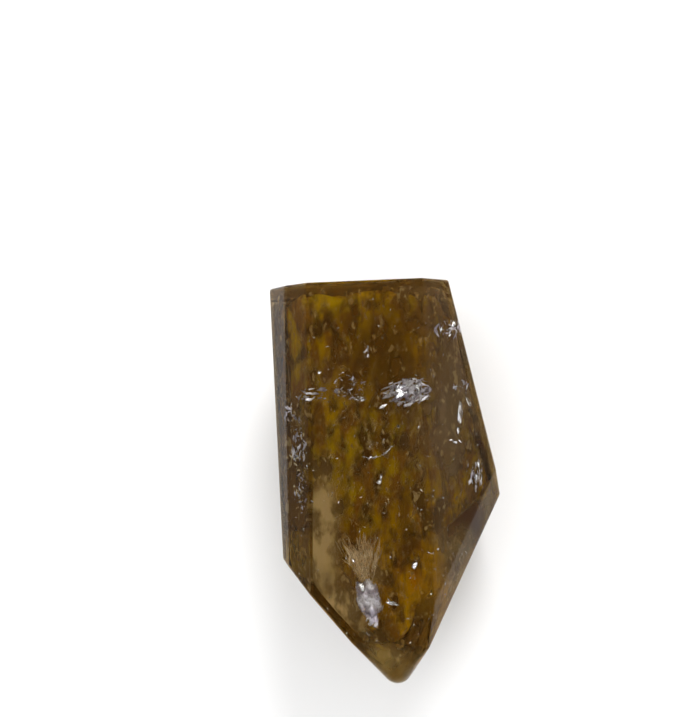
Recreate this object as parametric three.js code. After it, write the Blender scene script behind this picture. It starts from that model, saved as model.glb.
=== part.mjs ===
// A citrine crystal point, lying on one of its prism faces.
// Millimetres, +Z up, the long axis along Y, the point towards -Y.
// The origin is on the resting surface, under the middle of the crystal's box.
//
// The crystal is a convex solid bounded by flat faces. Each face is given by the
// way it looks out and by how far it lies from the crystal's heart, and every
// edge and corner is rolled over a small sphere that touches the faces meeting there.

import * as THREE from 'three';
import { mergeVertices } from 'three/addons/utils/BufferGeometryUtils.js';

// Driving dimensions
const THICKNESS = 37;          // from the resting face to the top face
const BASE_REACH = 34.2;       // from the heart to the sawn base
const EDGE_RADIUS = 0.6;       // the polish on an ordinary edge
const SHOULDER_RADIUS = 1.3;   // where the prism's sides turn into the point
const TIP_RADIUS = 2.6;        // the worn tip
const ROLL_STEPS = 8;          // flats across one rounded edge

// The flat faces. heading is the compass of the face's outward direction in the
// XY plane, in degrees from +X towards +Y, tilt is its rise above that plane in
// degrees, and reach is its distance from the heart.
const FACES = [
  { name: 'top', heading: 0, tilt: 90, reach: THICKNESS / 2 },
  { name: 'rest', heading: 0, tilt: -90, reach: THICKNESS / 2 },
  { name: 'left_upper', heading: 181, tilt: 54, reach: 21.6 },
  { name: 'left_bevel', heading: 181, tilt: 38, reach: 21.85 },
  { name: 'left_lower', heading: 184.4, tilt: -14, reach: 14.6 },
  { name: 'right_upper', heading: 2, tilt: 36, reach: 19 },
  { name: 'right_lower', heading: 18, tilt: -22, reach: 16.2 },
  { name: 'right_bevel', heading: -9, tilt: 21, reach: 19.6 },
  { name: 'point_right', heading: -28, tilt: -12, reach: 17.8 },
  { name: 'point_left', heading: -138, tilt: 6, reach: 23.1 },
  { name: 'point_top', heading: -92, tilt: 58, reach: 30.3 },
  { name: 'point_under', heading: -92, tilt: -37, reach: 24.9 },
  { name: 'point_under_right', heading: -42, tilt: -42, reach: 20.8 },
  { name: 'point_under_left', heading: -136, tilt: -36, reach: 21.5 },
  { name: 'base', heading: 92, tilt: -4, reach: BASE_REACH },
];

// Edges that are worn rounder than the rest, each named by the two faces it lies between.
const WORN_EDGES = [
  { between: ['point_left', 'point_right'], radius: TIP_RADIUS },
  { between: ['right_lower', 'point_right'], radius: SHOULDER_RADIUS },
  { between: ['right_bevel', 'right_lower'], radius: SHOULDER_RADIUS },
  { between: ['left_bevel', 'point_left'], radius: SHOULDER_RADIUS },
  { between: ['left_lower', 'point_left'], radius: SHOULDER_RADIUS },
];

const WITHIN = 1e-6;           // rounding allowed when a corner is tested against a face
const MERGE_WITHIN = 1e-4;     // vertices nearer than this are one vertex

function outwardDirection(face) {
  const heading = THREE.MathUtils.degToRad(face.heading);
  const tilt = THREE.MathUtils.degToRad(face.tilt);
  const flat = Math.cos(tilt);
  return new THREE.Vector3(flat * Math.cos(heading), flat * Math.sin(heading), Math.sin(tilt));
}

// The point where three faces meet once each is moved inwards by inset.
function meetingPoint(faces, inset) {
  const [a, b, c] = faces.map((face) => face.normal);
  const bc = new THREE.Vector3().crossVectors(b, c);
  const ca = new THREE.Vector3().crossVectors(c, a);
  const ab = new THREE.Vector3().crossVectors(a, b);
  const volume = a.dot(bc);
  if (Math.abs(volume) < WITHIN) return null;
  const point = bc.multiplyScalar(faces[0].reach - inset);
  point.addScaledVector(ca, faces[1].reach - inset);
  point.addScaledVector(ab, faces[2].reach - inset);
  return point.divideScalar(volume);
}

function cornerRadius(faces) {
  const names = faces.map((face) => face.name);
  const worn = WORN_EDGES.find((edge) => edge.between.every((name) => names.includes(name)));
  return worn ? worn.radius : EDGE_RADIUS;
}

// Every corner of the crystal: the three faces that meet there, with the centre
// and radius of the sphere that rounds it.
function findCorners(faces) {
  const corners = [];
  for (let i = 0; i < faces.length; i += 1) {
    for (let j = i + 1; j < faces.length; j += 1) {
      for (let k = j + 1; k < faces.length; k += 1) {
        const meeting = [faces[i], faces[j], faces[k]];
        const sharp = meetingPoint(meeting, 0);
        if (!sharp) continue;
        const inside = faces.every((face) => face.normal.dot(sharp) <= face.reach + WITHIN);
        if (!inside) continue;
        const radius = cornerRadius(meeting);
        corners.push({ faces: meeting, radius, centre: meetingPoint(meeting, radius) });
      }
    }
  }
  return corners;
}

function onSphere(corner, direction) {
  return corner.centre.clone().addScaledVector(direction, corner.radius);
}

// Adds one triangle, turned so that it looks along outward.
function addTriangle(positions, a, b, c, outward) {
  const ab = new THREE.Vector3().subVectors(b, a);
  const ac = new THREE.Vector3().subVectors(c, a);
  const facesOut = ab.cross(ac).dot(outward) > 0;
  const ordered = facesOut ? [a, b, c] : [a, c, b];
  for (const vertex of ordered) positions.push(vertex.x, vertex.y, vertex.z);
}

// The flat part of a face: a fan over its corners, taken in order around it.
function addFlat(positions, face, corners) {
  const rim = corners.filter((corner) => corner.faces.includes(face));
  const straightOut = between([face.normal], [ROLL_STEPS]);
  const points = rim.map((corner) => onSphere(corner, straightOut));
  const middle = new THREE.Vector3();
  for (const point of points) middle.addScaledVector(point, 1 / points.length);
  const across = new THREE.Vector3().subVectors(points[0], middle).normalize();
  const along = new THREE.Vector3().crossVectors(face.normal, across);
  const turn = (point) => {
    const arm = new THREE.Vector3().subVectors(point, middle);
    return Math.atan2(arm.dot(along), arm.dot(across));
  };
  points.sort((a, b) => turn(a) - turn(b));
  for (let i = 1; i < points.length - 1; i += 1) {
    addTriangle(positions, points[0], points[i], points[i + 1], face.normal);
  }
}

// A direction between two or three face normals, by whole steps from each.
function between(normals, steps) {
  const direction = new THREE.Vector3();
  normals.forEach((normal, i) => direction.addScaledVector(normal, steps[i]));
  return direction.normalize();
}

// The rounded strip between the two corners at the ends of an edge.
function addEdge(positions, first, last, shared) {
  const normals = shared.map((face) => face.normal);
  for (let step = 0; step < ROLL_STEPS; step += 1) {
    const u = between(normals, [ROLL_STEPS - step, step]);
    const v = between(normals, [ROLL_STEPS - step - 1, step + 1]);
    const outward = new THREE.Vector3().addVectors(u, v);
    addTriangle(positions, onSphere(first, u), onSphere(first, v), onSphere(last, v), outward);
    addTriangle(positions, onSphere(first, u), onSphere(last, v), onSphere(last, u), outward);
  }
}

// The patch of sphere at a corner, divided evenly between its three faces.
function addCorner(positions, corner) {
  const normals = corner.faces.map((face) => face.normal);
  const at = (i, j) => onSphere(corner, between(normals, [ROLL_STEPS - i - j, i, j]));
  const outward = between(normals, [1, 1, 1]);
  for (let i = 0; i < ROLL_STEPS; i += 1) {
    for (let j = 0; j < ROLL_STEPS - i; j += 1) {
      addTriangle(positions, at(i, j), at(i + 1, j), at(i, j + 1), outward);
      const hasPair = i + j < ROLL_STEPS - 1;
      if (hasPair) addTriangle(positions, at(i + 1, j), at(i + 1, j + 1), at(i, j + 1), outward);
    }
  }
}

function crystalGeometry() {
  const faces = FACES.map((face) => ({ ...face, normal: outwardDirection(face) }));
  const corners = findCorners(faces);
  const positions = [];
  for (const face of faces) addFlat(positions, face, corners);
  for (let i = 0; i < corners.length; i += 1) {
    for (let j = i + 1; j < corners.length; j += 1) {
      const shared = corners[i].faces.filter((face) => corners[j].faces.includes(face));
      if (shared.length === 2) addEdge(positions, corners[i], corners[j], shared);
    }
  }
  for (const corner of corners) addCorner(positions, corner);
  const soup = new THREE.BufferGeometry();
  soup.setAttribute('position', new THREE.Float32BufferAttribute(positions, 3));
  return mergeVertices(soup, MERGE_WITHIN);
}

// Moves the solid so that it stands on z = 0 with its box centred over the origin.
function setDown(geometry) {
  geometry.computeBoundingBox();
  const box = geometry.boundingBox;
  const middle = box.getCenter(new THREE.Vector3());
  geometry.translate(-middle.x, -middle.y, -box.min.z);
  geometry.computeVertexNormals();
  return geometry;
}

function crystalMaterial() {
  return new THREE.MeshStandardMaterial({
    color: 0x8a6629,
    roughness: 0.08,
    metalness: 0,
    transparent: true,
    opacity: 0.7,
  });
}

const crystal = new THREE.Mesh(setDown(crystalGeometry()), crystalMaterial());
crystal.name = 'crystal_point';

const part = new THREE.Group();
part.add(crystal);

export default part;
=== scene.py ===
import math
import random

import bmesh
import bpy
from mathutils import Matrix, Vector, noise
from mathutils.bvhtree import BVHTree


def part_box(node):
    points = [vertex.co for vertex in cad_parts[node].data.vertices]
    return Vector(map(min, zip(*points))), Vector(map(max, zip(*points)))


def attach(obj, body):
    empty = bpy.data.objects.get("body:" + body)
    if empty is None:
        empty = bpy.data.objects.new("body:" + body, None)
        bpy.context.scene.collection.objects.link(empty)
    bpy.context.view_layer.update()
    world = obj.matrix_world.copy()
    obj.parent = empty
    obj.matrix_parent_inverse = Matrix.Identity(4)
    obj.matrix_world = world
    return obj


MM = 0.001

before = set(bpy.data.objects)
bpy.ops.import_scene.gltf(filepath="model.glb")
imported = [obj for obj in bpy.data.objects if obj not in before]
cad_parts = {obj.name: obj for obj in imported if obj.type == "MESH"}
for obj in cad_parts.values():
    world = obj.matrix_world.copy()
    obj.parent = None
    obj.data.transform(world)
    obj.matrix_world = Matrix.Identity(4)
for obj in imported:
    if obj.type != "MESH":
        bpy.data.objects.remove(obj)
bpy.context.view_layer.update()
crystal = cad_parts["crystal_point"]
low, high = (Vector(corner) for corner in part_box("crystal_point"))
half_width = (high.x - low.x) / 2
half_length = (high.y - low.y) / 2

# Camera: above the crystal, leaning a little to its right
CAMERA_LEAN = math.radians(11.5)
CAMERA_DISTANCE = 520 * MM
CAMERA_LENS = 153
CAMERA_NEAREST = 10 * MM
AIM_LEFT = 9.2 * MM            # how far left of the crystal's middle the camera aims
AIM_UP = 21.5 * MM             # and how far towards its base

# Surroundings: a pale floor under a soft sky that is brightest overhead
FLOOR_HALF = 1.5
FLOOR_DROP = 0.2 * MM
FLOOR_SHADE = 0.82
FLOOR_ROUGHNESS = 0.8
SKY_LOW = 0.83
SKY_HIGH = 1.26
SKY_TURNS_AT = 0.7             # the height at which the sky starts to brighten, 1 being overhead
SKY_FULL_AT = 0.88
KEY_PLACE = Vector((0.27, 0.75, 0.72))
KEY_SIZE = 0.4
KEY_POWER = 6.2

# Quartz
QUARTZ_IOR = 1.544
QUARTZ_TINT = (0.58, 0.42, 0.0, 1)
QUARTZ_DENSITY = 60
QUARTZ_ROUGHNESS = 0.02
QUARTZ_SHINE = 0.03

# Shapes of the haze
FLAT_FACE_AREA = 25 * MM * MM
SAWN_FACING = 0.9              # a face that looks this much along +Y belongs to the sawn base
SAWN_SHARE = 0.5               # how much of its inset a cloud keeps under the sawn base
BLOCK_SIZE = 400 * MM
CUT_WITHIN = 1e-7
CLOUD_SPACING = 1.2 * MM
RUFFLE_LENGTH = 6 * MM
RUFFLE_STEP = (7.3, 3.1, 5.7)  # how far each seed moves the noise

# Textures of the haze
CLOUD_STEP = (0.13, 0.29, 0.17)
HUE_SCALE = 75
HUE_TURN = (0.38, 0.62)        # the noise values between which one look turns into the other
MOTTLE_TURN = (0.43, 0.58)
UNEVEN_TURN = (0.42, 0.56)
UNEVEN_LEAST = 0.25            # how much of a broken-up zone's colour its gaps keep
PATCH_SCALE = 110
FLECK_SCALE = 900
FLECK_TURN = (0.57, 0.66)
WANDER = 1.6                   # how far the patches move a zone's edge, as a share of its reach
ZONE_FULL = 0.15               # where a zone's mask starts to fade, and where it is gone,
ZONE_GONE = 1                  # as shares of the zone's reach
CUT_WIDTH = 0.3 * MM
STEEP = 0.35                   # below this upward facing a cloud turns into its side
HAZE_ROUGHNESS = 0.8

# Colours of the haze
GOLD = (0.80, 0.46, 0.0, 1)
OLIVE = (0.62, 0.43, 0.01, 1)
ORANGE = (0.75, 0.31, 0.0, 1)
BROWN = (0.36, 0.19, 0.03, 1)
DARK_BROWN = (0.20, 0.11, 0.03, 1)
DUSKY_BROWN = (0.13, 0.07, 0.02, 1)
DEEP_BROWN = (0.08, 0.035, 0.01, 1)
RUSSET = (0.22, 0.11, 0.015, 1)
TAN = (0.62, 0.45, 0.15, 1)
PALE_TAN = (0.80, 0.62, 0.32, 1)
OCHRE = (0.42, 0.26, 0.07, 1)
CLEAR_BROWN = (0.42, 0.28, 0.05, 1)
GREY_TAN = (0.30, 0.21, 0.12, 1)

# Leaves: the lens shapes that flaws are made of
LEAF_THICKNESS = 0.04 * MM
LEAF_SWELL = 0.02
RAGGED_GAIN = 1.6              # how strongly and how finely noise moves a leaf's outline
RAGGED_SCALE = 1.7
RIPPLE_LENGTH = 1.1 * MM
NOISE_SPAN = 50
DEPTH_SHARES = (0.6, 1.4)      # the range in which a cluster's depths vary
SIZE_SHARES = (0.5, 1.4)       # the range in which a string's or a curl's leaves vary
CLUSTER_LEAN = 16
FLAKE_LEAN = 13                # a flake leans towards the key light and mirrors it upwards
FLAKE_LEAN_HEADING = 72
GRAIN_SCALE = 1900
GRAIN_TURN = (0.36, 0.5)
GRAIN_HEIGHT = 0.15 * MM
DRIFT_SCALE = 500
DRIFT_TURN = (0.4, 0.6)
DRIFT_SHIFT = (0.3, 0.1, 0.2)
FRAY = 1.4                     # how strongly the grain frays a leaf's rim
RIM_FADES_AT = 0.7             # the share of a leaf's reach at which its rim starts to fade
DOWN = Vector((0, 0, -1))
ABOVE = 1.5                    # rays start this many crystal heights above the floor
PULL_IN = 0.85                 # each step by which a place off the crystal is drawn back


# Node and mesh helpers

# The places of the Mix node's colour sockets
MIX_FACTOR = 0
MIX_FIRST = 6
MIX_SECOND = 7
MIX_RESULT = 2


def new_material(name):
    material = bpy.data.materials.new(name)
    material.use_nodes = True
    return material


def principled(material):
    return material.node_tree.nodes["Principled BSDF"]


def set_inputs(tree, made, inputs):
    """Links the inputs that are sockets and sets the others."""
    for key, value in inputs.items():
        if isinstance(value, bpy.types.NodeSocket):
            tree.links.new(value, made.inputs[key])
        else:
            made.inputs[key].default_value = value


def add_node(tree, kind, inputs=None, **settings):
    made = tree.nodes.new(kind)
    for key, value in settings.items():
        setattr(made, key, value)
    set_inputs(tree, made, inputs or {})
    return made


def object_position(tree):
    return add_node(tree, "ShaderNodeTexCoord").outputs["Object"]


def noise_at(tree, scale, detail, roughness, stretch=(1, 1, 1), shift=(0, 0, 0)):
    mapped = add_node(tree, "ShaderNodeMapping",
                      {"Vector": object_position(tree), "Scale": stretch, "Location": shift})
    made = add_node(tree, "ShaderNodeTexNoise",
                    {"Vector": mapped.outputs[0], "Scale": scale, "Detail": detail, "Roughness": roughness})
    return made.outputs["Fac"]


def ramp(tree, value, first, last, interpolation="LINEAR"):
    """Goes from the first stop to the last, each a position and a colour."""
    made = add_node(tree, "ShaderNodeValToRGB", {"Fac": value})
    made.color_ramp.interpolation = interpolation
    for element, stop in zip(made.color_ramp.elements, (first, last)):
        element.position, element.color = stop
    return made.outputs["Color"]


def grey(value):
    return (value, value, value, 1)


def rising(tree, value, start, end, least=0):
    """The least up to start, then rising to 1 at end."""
    return ramp(tree, value, (start, grey(least)), (end, grey(1)))


def falling(tree, value, start, end, interpolation="LINEAR"):
    """1 up to start, then falling to 0 at end."""
    return ramp(tree, value, (start, grey(1)), (end, grey(0)), interpolation)


def mix(tree, factor, first, second):
    made = add_node(tree, "ShaderNodeMix", data_type="RGBA")
    set_inputs(tree, made, {MIX_FACTOR: factor, MIX_FIRST: first, MIX_SECOND: second})
    return made.outputs[MIX_RESULT]


def maths(tree, operation, *values):
    return add_node(tree, "ShaderNodeMath", dict(enumerate(values)), operation=operation).outputs[0]


def vectors(tree, operation, *values):
    return add_node(tree, "ShaderNodeVectorMath", dict(enumerate(values)), operation=operation)


def add_object(name, mesh, material, smooth=False):
    made = bpy.data.objects.new(name, mesh)
    bpy.context.scene.collection.objects.link(made)
    mesh.materials.append(material)
    for polygon in mesh.polygons:
        polygon.use_smooth = smooth
    return made


def place(across, along, up):
    """A point of the crystal: across and along run from -1 to 1, up from 0 at the floor to 1."""
    return Vector((across * half_width, along * half_length, up * high.z))


def compass(heading):
    """The level direction at heading degrees from +X towards +Y."""
    return Vector((math.cos(math.radians(heading)), math.sin(math.radians(heading)), 0))


# Surroundings

def make_camera():
    right = Vector((math.cos(CAMERA_LEAN), 0, -math.sin(CAMERA_LEAN)))
    towards = Vector((math.sin(CAMERA_LEAN), 0, math.cos(CAMERA_LEAN)))
    target = (low + high) / 2 - right * AIM_LEFT + Vector((0, AIM_UP, 0))
    data = bpy.data.cameras.new("camera")
    data.lens = CAMERA_LENS
    data.sensor_fit = "HORIZONTAL"
    data.clip_start = CAMERA_NEAREST
    camera = bpy.data.objects.new("camera", data)
    bpy.context.scene.collection.objects.link(camera)
    turn = Matrix((right, (0, 1, 0), towards)).transposed()
    camera.matrix_world = Matrix.Translation(target + towards * CAMERA_DISTANCE) @ turn.to_4x4()
    bpy.context.scene.camera = camera


def make_key_light():
    data = bpy.data.lights.new("key", "AREA")
    data.shape = "DISK"
    data.size = KEY_SIZE
    data.energy = KEY_POWER
    lamp = bpy.data.objects.new("key", data)
    bpy.context.scene.collection.objects.link(lamp)
    lamp.location = KEY_PLACE
    lamp.rotation_euler = (-KEY_PLACE).to_track_quat("-Z", "Y").to_euler()


def make_sky():
    world = bpy.data.worlds.new("sky")
    bpy.context.scene.world = world
    world.use_nodes = True
    tree = world.node_tree
    direction = add_node(tree, "ShaderNodeTexCoord").outputs["Generated"]
    height = add_node(tree, "ShaderNodeSeparateXYZ", {0: direction}).outputs["Z"]
    shade = ramp(tree, height, (SKY_TURNS_AT, grey(SKY_LOW)), (SKY_FULL_AT, grey(SKY_HIGH)))
    tree.links.new(shade, tree.nodes["Background"].inputs["Color"])


def make_floor():
    mesh = bpy.data.meshes.new("floor")
    s = FLOOR_HALF
    mesh.from_pydata([(-s, -s, 0), (s, -s, 0), (s, s, 0), (-s, s, 0)], [], [(0, 1, 2, 3)])
    material = new_material("floor")
    set_inputs(material.node_tree, principled(material), {
        "Base Color": grey(FLOOR_SHADE),
        "Roughness": FLOOR_ROUGHNESS,
    })
    floor = add_object("floor", mesh, material)
    floor.location.z = -FLOOR_DROP


def set_light_paths():
    """Enough bounces for light to cross the crystal and every leaf and cloud in it."""
    scene = bpy.context.scene
    scene.view_settings.view_transform = "Standard"
    scene.view_settings.look = "Medium High Contrast"
    scene.cycles.max_bounces = 32
    scene.cycles.diffuse_bounces = 6
    scene.cycles.glossy_bounces = 16
    scene.cycles.transmission_bounces = 32
    scene.cycles.transparent_max_bounces = 64
    scene.cycles.use_denoising = True


# Quartz

def quartz_material():
    material = new_material("citrine")
    tree = material.node_tree
    set_inputs(tree, principled(material), {
        "Base Color": grey(1),
        "Transmission Weight": 1,
        "IOR": QUARTZ_IOR,
        "Roughness": QUARTZ_ROUGHNESS,
        "Specular Tint": grey(QUARTZ_SHINE),
    })
    absorption = add_node(tree, "ShaderNodeVolumeAbsorption",
                          {"Color": QUARTZ_TINT, "Density": QUARTZ_DENSITY})
    tree.links.new(absorption.outputs[0], tree.nodes["Material Output"].inputs["Volume"])
    return material


# Shapes of the haze: nested clouds that follow the crystal's own faces, as growth zones do

def flat_faces():
    """The crystal's flat faces, each as its outward direction and a point on it."""
    areas = {}
    for polygon in crystal.data.polygons:
        key = tuple(round(part, 3) for part in polygon.normal)
        area, _ = areas.get(key, (0, None))
        areas[key] = (area + polygon.area, polygon)
    return [(polygon.normal.copy(), polygon.center.copy())
            for area, polygon in areas.values() if area > FLAT_FACE_AREA]


def box_sides():
    """The four upright sides of the crystal's box, which its worn corners only touch."""
    return [(Vector((-1, 0, 0)), low), (Vector((1, 0, 0)), high),
            (Vector((0, -1, 0)), low), (Vector((0, 1, 0)), high)]


def inset_solid(name, faces, inset):
    """The solid inside the crystal whose every face lies inset below one of the crystal's.

    The sawn base cuts across the growth zones, so the solid runs up nearer to it.
    """
    bm = bmesh.new()
    bmesh.ops.create_cube(bm, size=BLOCK_SIZE)
    for direction, point in faces:
        depth = inset * SAWN_SHARE if direction.y > SAWN_FACING else inset
        geometry = bm.verts[:] + bm.edges[:] + bm.faces[:]
        bmesh.ops.bisect_plane(bm, geom=geometry, dist=CUT_WITHIN, plane_co=point - direction * depth,
                               plane_no=direction, clear_outer=True)
        rim = [edge for edge in bm.edges if edge.is_boundary]
        if rim:
            bmesh.ops.holes_fill(bm, edges=rim)
    bmesh.ops.recalc_face_normals(bm, faces=bm.faces[:])
    bmesh.ops.triangulate(bm, faces=bm.faces[:])
    mesh = bpy.data.meshes.new(name)
    bm.to_mesh(mesh)
    bm.free()
    return mesh


def even_mesh(name, mesh, softening):
    """The same closed surface as even small quads, its edges softened."""
    rough = bpy.data.objects.new(name, mesh)
    bpy.context.scene.collection.objects.link(rough)
    remesh = rough.modifiers.new("even", "REMESH")
    remesh.mode = "VOXEL"
    remesh.voxel_size = CLOUD_SPACING
    soften = rough.modifiers.new("soften", "SMOOTH")
    soften.iterations = softening
    done = bpy.data.meshes.new_from_object(rough.evaluated_get(bpy.context.evaluated_depsgraph_get()))
    bpy.data.objects.remove(rough)
    return done


def ruffle(mesh, height, seed):
    """Moves each vertex along its normal by a smooth random height."""
    shift = Vector([seed * step for step in RUFFLE_STEP])
    moves = [vertex.normal * height * noise.noise(vertex.co / RUFFLE_LENGTH + shift)
             for vertex in mesh.vertices]
    for vertex, move in zip(mesh.vertices, moves):
        vertex.co += move


# Zones: the regions where a cloud is paler, darker or of another colour

def zone(at, reach, colour, alpha, cuts=(), even=False):
    """A zone about a place, reaching so many mm each way, ended by cuts and broken up unless even."""
    return {"at": at, "reach": reach, "colour": colour, "alpha": alpha, "cuts": cuts, "even": even}


# Each cut is a place on a plane and the direction in which the zone ends there.
LEFT_RIDGE = (-0.54, 0, 1)
LEFT_OF_RIDGE = (LEFT_RIDGE, (1, 0, 0))
RIGHT_OF_RIDGE = (LEFT_RIDGE, (-1, 0, 0))
SHOULDER = (0.62, -0.214, 1)
ABOVE_SHOULDER = (SHOULDER, (0.71, -0.70, 0))
BELOW_SHOULDER = (SHOULDER, (-0.71, 0.70, 0))
BANDS_END = (0, -0.25, 1)
TOWARDS_BASE = (BANDS_END, (0, -1, 0))
TOWARDS_POINT = (BANDS_END, (0, 1, 0))
COLLAR_EDGE = ((0, 0.385, 1), (0, -1, 0))

PALE_LEFT = zone((-0.47, -0.30, 0.9), (5, 22, 9), PALE_TAN, 0.75, [RIGHT_OF_RIDGE])
PALE_LOWER = zone((-0.30, -0.64, 0.9), (8, 14, 10), PALE_TAN, 0.9, [RIGHT_OF_RIDGE])
PALE_MIDDLE = zone((0.12, -0.83, 0.9), (7, 6, 9), TAN, 0.6)
PALE_FAN = zone((-0.05, -0.42, 0.9), (3.5, 6, 6), PALE_TAN, 0.5)
TIP_HAZE = zone((0.1, -0.93, 0.8), (10, 7, 12), TAN, 0.4)
# Painted reflection: an even grey-tan haze on the upper right face stands in for the grey sheen that face
# reflects.
PAINTED_REFLECTION_RIGHT = zone((0.60, 0.45, 0.8), (11, 33, 14), GREY_TAN, 0.75, [ABOVE_SHOULDER], even=True)
GREY_LOW = zone((0.64, -0.36, 0.8), (6, 11, 10), GREY_TAN, 0.6, even=True)
# Painted shade: an almost opaque deep brown sheet under the narrow band at the lower right stands in for the
# shade that band mirrors.
PAINTED_SHADE_TRIANGLE = zone((0.80, -0.17, 0.8), (16, 9, 30), DEEP_BROWN, 0.95, [BELOW_SHOULDER], even=True)
COLLAR = zone((-0.4, 0.50, 0.9), (14, 8, 10), GREY_TAN, 0.35, [COLLAR_EDGE])
CRUMPLED = zone((-0.72, 0.05, 0.9), (5, 22, 12), DARK_BROWN, 0.85, [TOWARDS_BASE, LEFT_OF_RIDGE])
CORNER = zone((-0.75, -0.42, 0.8), (6, 10, 18), CLEAR_BROWN, 0.9, [TOWARDS_POINT, LEFT_OF_RIDGE], even=True)
DARK_MIDDLE = zone((0.33, -0.2, 0.9), (4, 12, 9), DEEP_BROWN, 0.75)
DARK_SPOT = zone((0.84, 0.19, 0.75), (3.5, 3, 10), DEEP_BROWN, 0.95, even=True)
DARK_UPPER = zone((0.12, 0.64, 0.9), (15, 12, 9), RUSSET, 0.65, even=True)
RUSSET_HIGH = zone((0.2, 0.5, 0.8), (6, 10, 9), RUSSET, 0.25)
GOLD_LOW = zone((0.46, -0.54, 0.8), (4.5, 9, 9), GOLD, 0.95)
GOLD_STREAKS = zone((0.44, -0.58, 0.8), (3.5, 8, 9), GOLD, 0.3)
ORANGE_SPOT = zone((0.36, -0.46, 0.8), (2, 4, 9), ORANGE, 0.9)


def cut_mask(tree, where, cut):
    """1 on the kept side of a cut and 0 on the other."""
    point, direction = cut
    beyond = vectors(tree, "SUBTRACT", where, place(*point)).outputs[0]
    side = vectors(tree, "DOT_PRODUCT", beyond, Vector(direction).normalized()).outputs["Value"]
    kept = maths(tree, "MULTIPLY_ADD", side, -1 / CUT_WIDTH, 0.5)
    return maths(tree, "MINIMUM", maths(tree, "MAXIMUM", kept, 0), 1)


def zone_mask(tree, region, wander):
    """1 inside the zone's ellipsoid and 0 outside it, across a soft edge moved about by wander."""
    where = object_position(tree)
    arm = vectors(tree, "SUBTRACT", where, place(*region["at"])).outputs[0]
    scaled = vectors(tree, "DIVIDE", arm, Vector(region["reach"]) * MM).outputs[0]
    distance = vectors(tree, "LENGTH", scaled).outputs["Value"]
    moved = maths(tree, "ADD", distance, wander)
    inside = falling(tree, moved, ZONE_FULL, ZONE_GONE, "EASE")
    for cut in region["cuts"]:
        inside = maths(tree, "MULTIPLY", inside, cut_mask(tree, where, cut))
    return inside


# Clouds, from the skin inwards. upper and under are the opacity of a cloud's top and of
# its sides and underside, inset and ruffle are in mm, and texture is the two stops by
# which the mottle thins the top.
EVEN = ((0.0, grey(1)), (1.0, grey(1)))
STREAKED = ((0.38, grey(1)), (0.62, grey(0)))

SKIN = {
    "name": "cloud_skin", "seed": 1, "inset": 0.7, "softening": 3, "ruffle": 0.3,
    "warm": TAN, "cool": GREY_TAN, "dark": OCHRE, "scale": 420, "texture": EVEN,
    "upper": 0.03, "under": 0.45, "flecks": 0.0,
    "zones": [TIP_HAZE, PAINTED_SHADE_TRIANGLE],
}
STREAKS = {
    "name": "cloud_streaks", "seed": 2, "inset": 1.7, "softening": 4, "ruffle": 0.3,
    "warm": BROWN, "cool": BROWN, "dark": DUSKY_BROWN, "scale": 400, "texture": STREAKED,
    "upper": 0.9, "under": 0.0, "flecks": 0.5,
    "zones": [PALE_LEFT, PALE_LOWER, PALE_MIDDLE, PAINTED_REFLECTION_RIGHT, GREY_LOW, COLLAR, CRUMPLED, CORNER, PAINTED_SHADE_TRIANGLE,
              DARK_MIDDLE, DARK_SPOT, DARK_UPPER, PALE_FAN, GOLD_STREAKS],
}
BODY = {
    "name": "cloud_body", "seed": 3, "inset": 4.2, "softening": 25, "ruffle": 2.0,
    "warm": GOLD, "cool": OLIVE, "dark": BROWN, "scale": 330, "texture": EVEN,
    "upper": 0.9, "under": 0.7, "flecks": 0.35,
    "zones": [GOLD_LOW, ORANGE_SPOT, RUSSET_HIGH],
}
CORE = {
    "name": "cloud_core", "seed": 4, "inset": 8, "softening": 40, "ruffle": 2.0,
    "warm": ORANGE, "cool": GOLD, "dark": BROWN, "scale": 200, "texture": EVEN,
    "upper": 0.95, "under": 0.9, "flecks": 0.0,
    "zones": [],
}


def plain_haze(tree, look, mottle, shift):
    """The haze's colour and opacity where no zone changes them."""
    hue = noise_at(tree, HUE_SCALE, detail=2, roughness=0.5, stretch=(1, 0.8, 1), shift=shift)
    lit = ramp(tree, hue, (HUE_TURN[0], look["warm"]), (HUE_TURN[1], look["cool"]))
    colour = mix(tree, rising(tree, mottle, *MOTTLE_TURN), look["dark"], lit)
    normal = add_node(tree, "ShaderNodeNewGeometry").outputs["Normal"]
    facing_up = add_node(tree, "ShaderNodeSeparateXYZ", {0: normal}).outputs["Z"]
    upper = maths(tree, "MULTIPLY", look["upper"], ramp(tree, mottle, *look["texture"]))
    side = falling(tree, facing_up, 0, STEEP)
    return colour, mix(tree, side, upper, grey(look["under"]))


def zoned_haze(tree, look, mottle, shift):
    """The haze's colour and opacity with its zones laid over them."""
    colour, alpha = plain_haze(tree, look, mottle, shift)
    patches = noise_at(tree, PATCH_SCALE, detail=3, roughness=0.5, stretch=(1, 0.7, 1), shift=shift)
    wander = maths(tree, "MULTIPLY_ADD", patches, WANDER, -WANDER / 2)
    uneven = rising(tree, mottle, *UNEVEN_TURN, UNEVEN_LEAST)
    for region in look["zones"]:
        inside = zone_mask(tree, region, wander)
        amount = inside if region["even"] else maths(tree, "MULTIPLY", inside, uneven)
        colour = mix(tree, amount, colour, region["colour"])
        alpha = maths(tree, "MAXIMUM", alpha, maths(tree, "MULTIPLY", inside, region["alpha"]))
    return colour, alpha


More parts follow.
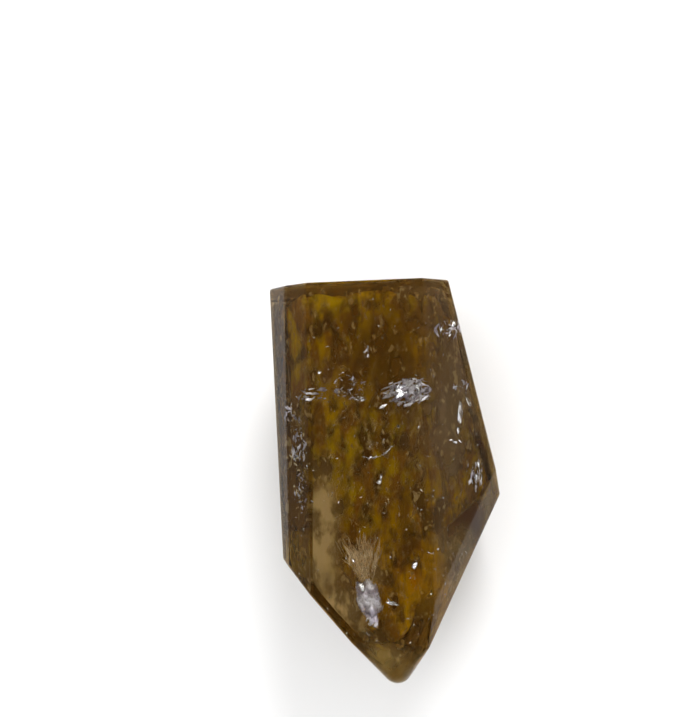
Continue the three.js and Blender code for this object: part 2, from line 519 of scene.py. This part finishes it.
def cloud_material(look):
    """Mottled haze with its zones and a sprinkle of pale flecks."""
    material = new_material(look["name"])
    tree = material.node_tree
    shift = tuple(look["seed"] * step for step in CLOUD_STEP)
    mottle = noise_at(tree, look["scale"], detail=5, roughness=0.5, stretch=(1, 0.5, 1), shift=shift)
    colour, alpha = zoned_haze(tree, look, mottle, shift)
    grain = noise_at(tree, FLECK_SCALE, detail=3, roughness=0.6, stretch=(1, 0.6, 1), shift=shift)
    fleck_alpha = maths(tree, "MULTIPLY", rising(tree, grain, *FLECK_TURN), look["flecks"])
    set_inputs(tree, principled(material), {
        "Base Color": mix(tree, fleck_alpha, colour, PALE_TAN),
        "Alpha": maths(tree, "MAXIMUM", alpha, fleck_alpha),
        "Roughness": HAZE_ROUGHNESS,
        "Specular IOR Level": 0,
    })
    return material


def add_cloud(faces, look):
    name = look["name"]
    mesh = even_mesh(name, inset_solid(name, faces, look["inset"] * MM), look["softening"])
    ruffle(mesh, look["ruffle"] * MM, look["seed"])
    cloud = add_object(name, mesh, cloud_material(look), smooth=True)
    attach(cloud, "root")


def add_clouds():
    faces = flat_faces() + box_sides()
    for look in (SKIN, STREAKS, BODY, CORE):
        add_cloud(faces, look)


# Flaws: veils, flakes and silk sealed in the quartz

class Flaws:
    """One mesh of thin lens-shaped leaves, placed under the crystal's surface.

    Places are shares of the crystal's half width and half length, depths and sizes are
    in mm, and headings and leans are in degrees.
    """

    def __init__(self, name, surface, seed):
        self.name = name
        self.surface = surface
        self.random = random.Random(seed)
        self.vertices = []
        self.polygons = []
        self.rims = []

    def surface_at(self, across, along):
        """The surface's point and direction over a place, both None beside the crystal."""
        point, normal, _, _ = self.surface.ray_cast(place(across, along, ABOVE), DOWN)
        return point, normal

    def under_surface(self, across, along, depth):
        """A point the given depth below the surface, and the surface's direction there."""
        point, normal = self.surface_at(across, along)
        return point + DOWN * depth * MM, normal

    def leaf(self, centre, normal, size, heading, lean, lean_heading, ragged, ripple):
        """A lens of the given length and width, its long axis at heading, leaning to lean_heading."""
        length, width = size[0] * MM, size[1] * MM
        steps = int(max(size))
        rings = 2 + steps
        spokes = 8 + 4 * steps
        lean_axis = compass(lean_heading + 90)
        out = Matrix.Rotation(math.radians(lean), 3, lean_axis) @ normal
        along = compass(heading)
        along = (along - out * along.dot(out)).normalized()
        across = out.cross(along)
        shift = Vector([self.random.uniform(0, NOISE_SPAN) for _ in range(3)])
        thickness = LEAF_THICKNESS + LEAF_SWELL * width

        def add_point(ring, spoke, side):
            edge = compass(360 * spoke / spokes)
            reach = ring / rings * (1 + ragged * RAGGED_GAIN * noise.noise(edge * RAGGED_SCALE + shift))
            u, v = edge.x * reach * length / 2, edge.y * reach * width / 2
            wave = ripple * MM * noise.noise(Vector((u, v, 0)) / RIPPLE_LENGTH + shift)
            swell = side * thickness * (1 - (ring / rings) ** 2)
            self.vertices.append(centre + along * u + across * v + out * (wave + swell))
            self.rims.append(ring / rings)
            return len(self.vertices) - 1

        rim = [add_point(rings, spoke, 0) for spoke in range(spokes)]
        for side in (1, -1):
            hub = add_point(0, 0, side)
            rows = [[add_point(ring, spoke, side) for spoke in range(spokes)] for ring in range(1, rings)]
            self.add_web(hub, rows + [rim], side)

    def add_web(self, hub, rows, side):
        """The polygons from a hub out through rows of points, facing out on the given side."""
        spokes = len(rows[0])
        for spoke in range(spokes):
            after = (spoke + 1) % spokes
            self.add_polygon((hub, rows[0][spoke], rows[0][after]), side)
            for inner, outer in zip(rows, rows[1:]):
                self.add_polygon((inner[spoke], outer[spoke], outer[after], inner[after]), side)

    def add_polygon(self, corners, side):
        self.polygons.append(corners if side == 1 else corners[::-1])

    def veil(self, at, depth, size, heading, lean, lean_heading, ragged, ripple):
        """One leaf under a place."""
        centre, normal = self.under_surface(*at, depth)
        self.leaf(centre, normal, size, heading, lean, lean_heading, ragged, ripple)

    def flake(self, at, depth, size, heading, ragged=0.3, ripple=0.25):
        """One leaf under a place, leaning so that it flashes."""
        self.veil(at, depth, size, heading, FLAKE_LEAN, FLAKE_LEAN_HEADING, ragged, ripple)

    def scatter(self, at, spread):
        """A random place in the ellipse about at whose width and length are spread mm."""
        turn = self.random.uniform(0, 2 * math.pi)
        reach = math.sqrt(self.random.random()) / 2 * MM
        across = math.cos(turn) * reach * spread[0] / half_width
        along = math.sin(turn) * reach * spread[1] / half_length
        while self.surface_at(at[0] + across, at[1] + along)[0] is None:
            across *= PULL_IN
            along *= PULL_IN
        return at[0] + across, at[1] + along

    def cluster(self, at, depth, spread, count, size, heading=None):
        """Scattered slender leaves, many small and a few long, at heading or every way."""
        for _ in range(count):
            spot = self.scatter(at, spread)
            centre, normal = self.under_surface(*spot, depth * self.random.uniform(*DEPTH_SHARES))
            length = size * (0.4 + 1.8 * self.random.random() ** 2)
            width = length * self.random.uniform(0.15, 0.5)
            direction = self.random.uniform(0, 180) if heading is None else self.random.gauss(heading, 14)
            self.leaf(centre, normal, (length, width), direction,
                      CLUSTER_LEAN * self.random.uniform(0.3, 1.3), self.random.uniform(0, 360), 0.6, 0.1)

    def string(self, start, end, bow, depth, count, size):
        """Leaves strung from start to end along a line that bows sideways by bow mm."""
        first, _ = self.under_surface(*start, depth)
        last, _ = self.under_surface(*end, depth)
        run = last - first
        sideways = Vector((-run.y, run.x, 0)).normalized() * bow * MM
        for i in range(count):
            share = i / (count - 1)
            centre = first + run * share + sideways * 4 * share * (1 - share)
            direction = math.degrees(math.atan2(run.y, run.x)) + self.random.uniform(-35, 35)
            length = size * self.random.uniform(*SIZE_SHARES)
            self.leaf(centre, -DOWN, (length, length * 0.4), direction,
                      self.random.uniform(6, 18), self.random.uniform(0, 360), 0.3, 0.05)

    def curl(self, at, depth, radii, count, size):
        """Leaves set head to tail round a loop."""
        centre, normal = self.under_surface(*at, depth)
        for i in range(count):
            turn = 2 * math.pi * (i + self.random.uniform(-0.3, 0.3)) / count
            swing = self.random.uniform(0.8, 1.2)
            arm = Vector((radii[0] * math.cos(turn), radii[1] * math.sin(turn), 0)) * swing * MM
            arm -= normal * arm.dot(normal)
            direction = math.degrees(math.atan2(radii[1] * math.cos(turn), -radii[0] * math.sin(turn)))
            length = size * self.random.uniform(*SIZE_SHARES)
            self.leaf(centre + arm, normal, (length, length * 0.35), direction,
                      self.random.uniform(6, 24), self.random.uniform(0, 360), 0.3, 0.06)

    def fan(self, at, depth, length, count, headings, width):
        """Slender leaves that spread from one place between two headings."""
        root, normal = self.under_surface(*at, depth)
        for _ in range(count):
            heading = self.random.uniform(*headings)
            arm = compass(heading) * length * self.random.uniform(0.15, 0.85) * MM
            leaf_length = length * self.random.uniform(0.15, 0.5)
            aside = Vector((self.random.uniform(-1.2, 1.2), 0, self.random.uniform(-0.4, 0.2))) * MM
            self.leaf(root + arm + aside, normal,
                      (leaf_length, width * self.random.uniform(0.4, 1.6)), heading + self.random.gauss(0, 9),
                      self.random.uniform(4, 22), self.random.uniform(0, 360), 0.2, 0.15)

    def finish(self, material):
        """Makes the mesh, with rim running from 0 at each leaf's middle to 1 at its rim."""
        mesh = bpy.data.meshes.new(self.name)
        mesh.from_pydata(self.vertices, [], self.polygons)
        rim = mesh.attributes.new("rim", "FLOAT", "POINT")
        rim.data.foreach_set("value", self.rims)
        piece = add_object(self.name, mesh, material, smooth=True)
        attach(piece, "root")


def flaw_material(name, pale, shade, opacity, metallic, roughness):
    """A mirror-like crack, broken up by fine speckle and fading towards its rim."""
    material = new_material(name)
    tree = material.node_tree
    grain = noise_at(tree, GRAIN_SCALE, detail=4, roughness=0.7)
    drift = noise_at(tree, DRIFT_SCALE, detail=2, roughness=0.5, shift=DRIFT_SHIFT)
    rim = add_node(tree, "ShaderNodeAttribute", attribute_name="rim").outputs["Fac"]
    frayed = maths(tree, "ADD", rim, maths(tree, "MULTIPLY_ADD", grain, FRAY, -FRAY / 2))
    fade = falling(tree, frayed, RIM_FADES_AT, 1)
    speckle = ramp(tree, grain, (GRAIN_TURN[0], grey(opacity / 2)), (GRAIN_TURN[1], grey(opacity)))
    bump = add_node(tree, "ShaderNodeBump", {"Strength": 0.5, "Distance": GRAIN_HEIGHT, "Height": grain})
    set_inputs(tree, principled(material), {
        "Base Color": mix(tree, rising(tree, drift, *DRIFT_TURN), shade, pale),
        "Alpha": maths(tree, "MULTIPLY", speckle, fade),
        "Metallic": metallic,
        "Roughness": roughness,
        "Normal": bump.outputs[0],
    })
    return material


def crystal_surface():
    """The crystal's outside, ready for rays to be cast at it."""
    bm = bmesh.new()
    bm.from_mesh(crystal.data)
    tree = BVHTree.FromBMesh(bm)
    bm.free()
    return tree


def add_veil_sheet(surface, material):
    """The dull grey-lilac sheets and crumples that the bright flaws lie among."""
    flaws = Flaws("veil_sheet", surface, 11)
    # the large veil
    flaws.veil((0.27, 0.440), 1.1, (5.0, 2.4), 25, 8, 80, 0.5, 0.5)
    flaws.cluster((0.29, 0.44), 1.1, (8, 4.2), 150, 0.9, 30)
    flaws.cluster((0.36, 0.455), 1.1, (6, 4), 70, 0.8)
    # the white flake near the tip
    flaws.veil((-0.03, -0.585), 1.1, (9, 4.2), 108, 6, 90, 0.2, 0.3)
    flaws.veil((-0.02, -0.615), 1.0, (4.5, 3.2), 95, 9, 90, 0.35, 0.3)
    # the collar, left of the veil
    flaws.cluster((-0.54, 0.43), 1.2, (6, 2.4), 20, 1.2, 10)
    flaws.cluster((-0.2, 0.47), 1.1, (5.5, 5), 30, 0.7)
    # the right side, from the base down to the shoulder
    flaws.cluster((0.62, 0.75), 1.2, (4.4, 3.4), 36, 0.8)
    flaws.cluster((0.72, 0.47), 1.0, (3, 3), 14, 0.8)
    flaws.cluster((0.82, 0.03), 1.0, (2.6, 6), 30, 0.9, 80)
    # the crumpled band on the left
    flaws.cluster((-0.76, 0.33), 0.9, (2.6, 2.6), 16, 1.0)
    flaws.cluster((-0.66, 0.20), 1.1, (3.2, 9), 34, 1.0)
    flaws.cluster((-0.64, -0.06), 1.1, (3.0, 7), 26, 0.9)
    flaws.finish(material)


def add_veil_bright(surface, material):
    """The bright parts of the large veil, and the flakes and curls level with it and above."""
    flaws = Flaws("veil_bright", surface, 12)
    # the veil's heart and its outliers
    flaws.flake((0.262, 0.446), 0.9, (3.4, 2.0), 45, 0.4, 0.3)
    flaws.flake((0.30, 0.45), 1.2, (2.2, 1.2), 20, 0.4, 0.3)
    flaws.flake((0.40, 0.475), 1.2, (1.8, 0.7), 35, 0.4, 0.3)
    flaws.flake((0.095, 0.372), 1.0, (1.9, 0.6), 25, 0.3, 0.2)
    flaws.cluster((0.30, 0.44), 1.2, (8.5, 4.6), 45, 0.6)
    # flakes above it
    flaws.flake((-0.47, 0.537), 0.9, (0.8, 0.7), 60)
    flaws.cluster((-0.351, 0.553), 1.0, (1.8, 0.6), 5, 0.7, 20)
    flaws.cluster((-0.052, 0.634), 1.1, (1.2, 2.4), 10, 0.6, 70)
    flaws.flake((-0.04, 0.62), 1.2, (0.9, 0.5), 80)
    # the curl on its left
    flaws.curl((-0.24, 0.485), 1.1, (1.6, 1.7), 22, 0.6)
    flaws.curl((-0.14, 0.45), 1.1, (1.1, 1.4), 16, 0.5)
    flaws.cluster((-0.12, 0.41), 1.3, (2.2, 0.9), 9, 0.7, 10)
    flaws.finish(material)


def add_glints(surface, material):
    """The small bright flakes below the veil and down both sides."""
    flaws = Flaws("glints", surface, 13)
    # the middle: single flakes and the hook
    flaws.flake((0.225, 0.273), 1.2, (0.9, 0.7), 80)
    flaws.flake((0.06, 0.0), 1.2, (1.1, 0.8), 60)
    flaws.veil((0.075, 0.03), 1.2, (1.5, 0.5), 80, 16, 60, 0.3, 0.25)
    flaws.string((-0.08, 0.125), (0.165, 0.175), -0.9, 1.4, 12, 0.8)
    flaws.cluster((-0.02, 0.19), 1.0, (0.8, 1.4), 5, 0.5)
    # round the fan and the white flake
    flaws.flake((-0.168, -0.386), 1.0, (1.1, 0.5), 140)
    flaws.veil((-0.095, -0.515), 0.9, (1.9, 1.3), 115, 12, 72, 0.3, 0.2)
    flaws.cluster((-0.02, -0.69), 1.0, (2.4, 1.4), 8, 0.5)
    flaws.cluster((-0.04, -0.77), 1.0, (0.6, 2.4), 6, 0.4, 90)
    flaws.flake((0.373, -0.407), 1.0, (1.5, 1.0), 65)
    flaws.flake((0.18, -0.594), 1.0, (2.4, 0.7), 168)
    flaws.cluster((0.15, -0.585), 1.0, (1.6, 0.8), 5, 0.6)
    for at in [(0.516, -0.544), (0.609, -0.549), (0.364, -0.696), (0.336, -0.782), (0.595, -0.077),
               (-0.607, -0.234), (0.10, 0.21), (0.30, -0.23), (-0.3, -0.1)]:
        flaws.flake(at, 0.9, (0.5, 0.4), 60)
    # the flame of fine lines and the corner cluster on the right
    flaws.veil((0.71, 0.34), 1.0, (4.8, 1.5), 68, 14, 60, 0.2, 0.15)
    flaws.veil((0.77, 0.39), 1.0, (2.2, 1.1), 150, 14, 60, 0.2, 0.15)
    flaws.veil((0.695, 0.25), 1.0, (1.5, 0.7), 85, 14, 60, 0.2, 0.15)
    flaws.cluster((0.67, 0.20), 1.0, (1.8, 0.5), 4, 0.7, 5)
    flaws.cluster((0.84, 0.05), 1.0, (1.6, 4.2), 22, 0.8, 80)
    flaws.cluster((0.63, 0.76), 1.0, (3.6, 2.4), 24, 0.6)
    flaws.flake((0.63, 0.72), 1.0, (1.0, 0.5), 30)
    # the crumpled band on the left
    flaws.cluster((-0.64, 0.08), 1.0, (2.8, 17), 30, 0.45)
    flaws.finish(material)


def add_silk_fan(surface, material):
    """The feathery fan above the white flake, and the fine silk elsewhere."""
    flaws = Flaws("silk_fan", surface, 14)
    flaws.fan((-0.05, -0.50), 1.1, 9, 170, (70, 122), 0.24)
    flaws.fan((-0.08, -0.47), 1.0, 6, 60, (80, 125), 0.26)
    flaws.veil((-0.04, -0.33), 1.2, (3.2, 0.5), 105, 14, 72, 0.2, 0.2)
    flaws.cluster((-0.66, 0.12), 1.0, (3.4, 19), 90, 0.6)
    flaws.cluster((0, 0), 1.1, (18, 50), 120, 0.5, 90)
    flaws.finish(material)


def add_specks(surface, material):
    """Bright dust all through the crystal."""
    flaws = Flaws("specks", surface, 15)
    flaws.cluster((0.0, 0.0), 1.2, (36, 64), 420, 0.34)
    flaws.finish(material)


def add_flaws():
    surface = crystal_surface()
    silver = flaw_material("silver", (0.95, 0.97, 1, 1), (0.85, 0.87, 0.95, 1), 1.0, 0.9, 0.14)
    lilac = flaw_material("lilac", (0.92, 0.92, 1, 1), (0.5, 0.46, 0.54, 1), 0.75, 0.6, 0.3)
    silk = flaw_material("silk", (0.95, 0.80, 0.52, 1), (0.8, 0.6, 0.32, 1), 0.5, 0.2, 0.45)
    add_veil_sheet(surface, lilac)
    add_veil_bright(surface, silver)
    add_glints(surface, silver)
    add_silk_fan(surface, silk)
    add_specks(surface, silver)


make_camera()
make_sky()
make_floor()
make_key_light()
set_light_paths()

crystal.data.materials.clear()
crystal.data.materials.append(quartz_material())
add_clouds()
add_flaws()
